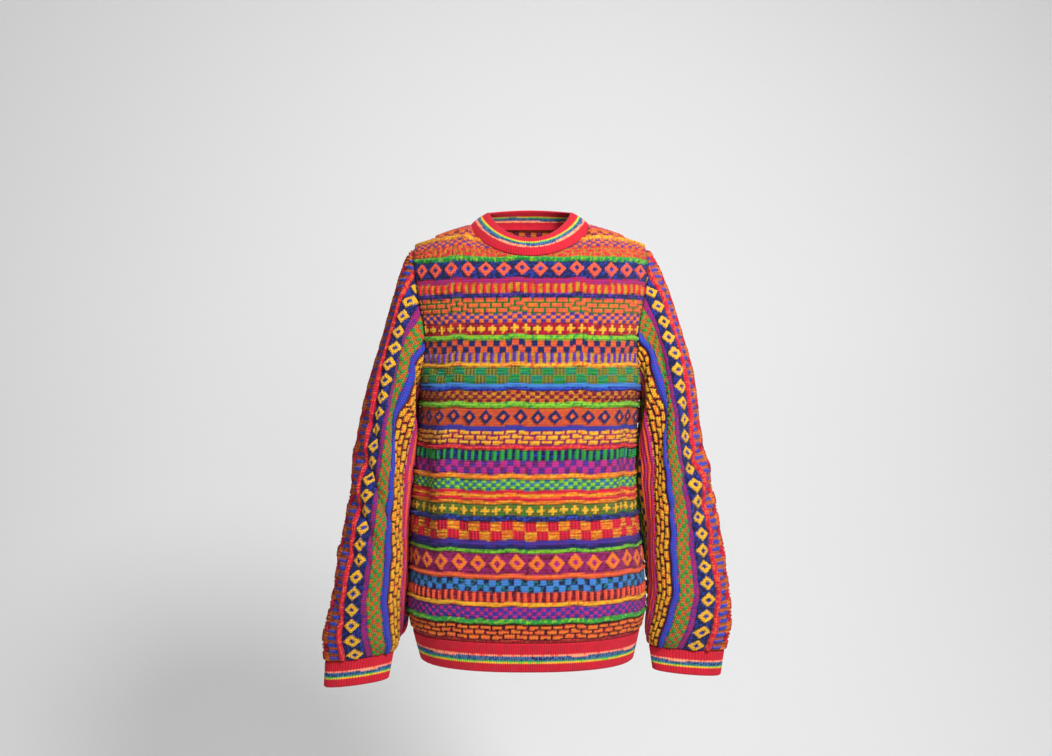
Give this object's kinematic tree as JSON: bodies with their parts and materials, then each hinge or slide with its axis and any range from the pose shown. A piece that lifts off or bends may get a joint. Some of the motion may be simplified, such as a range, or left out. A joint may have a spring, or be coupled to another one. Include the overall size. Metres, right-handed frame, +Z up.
{
  "type": "knit sweater",
  "caption": "Long-sleeved crew-neck pullover in heavy multicolour textured knit with red striped rib trims, hollow, arms hanging",
  "frame": {"origin": "on the centre plane between the shoulders, at the height where the shoulder seams meet the neckband", "axes": "+Z up from the hem to the neck; the front faces -Y; +X to the wearer's left"},
  "size_m": [0.643, 0.2678, 0.7636],
  "materials": {
    "front_knit": "matt cotton knit in raised multicolour bands",
    "back_knit": "matt cotton knit in raised multicolour bands",
    "sleeve_right_knit": "matt cotton knit in raised multicolour bands",
    "sleeve_left_knit": "matt cotton knit in raised multicolour bands",
    "neckband_knit": "matt cotton rib, red with narrow stripes",
    "hem_front_knit": "matt cotton rib, red with narrow stripes",
    "hem_back_knit": "matt cotton rib, red with narrow stripes",
    "cuff_right_knit": "matt cotton rib, red with narrow stripes",
    "cuff_left_knit": "matt cotton rib, red with narrow stripes"
  },
  "bodies": {
    "root": {"front": "front_knit", "back": "back_knit", "sleeve_right": "sleeve_right_knit", "sleeve_left": "sleeve_left_knit", "neckband": "neckband_knit", "hem_front": "hem_front_knit", "hem_back": "hem_back_knit", "cuff_right": "cuff_right_knit", "cuff_left": "cuff_left_knit"}
  },
  "joints": []
}
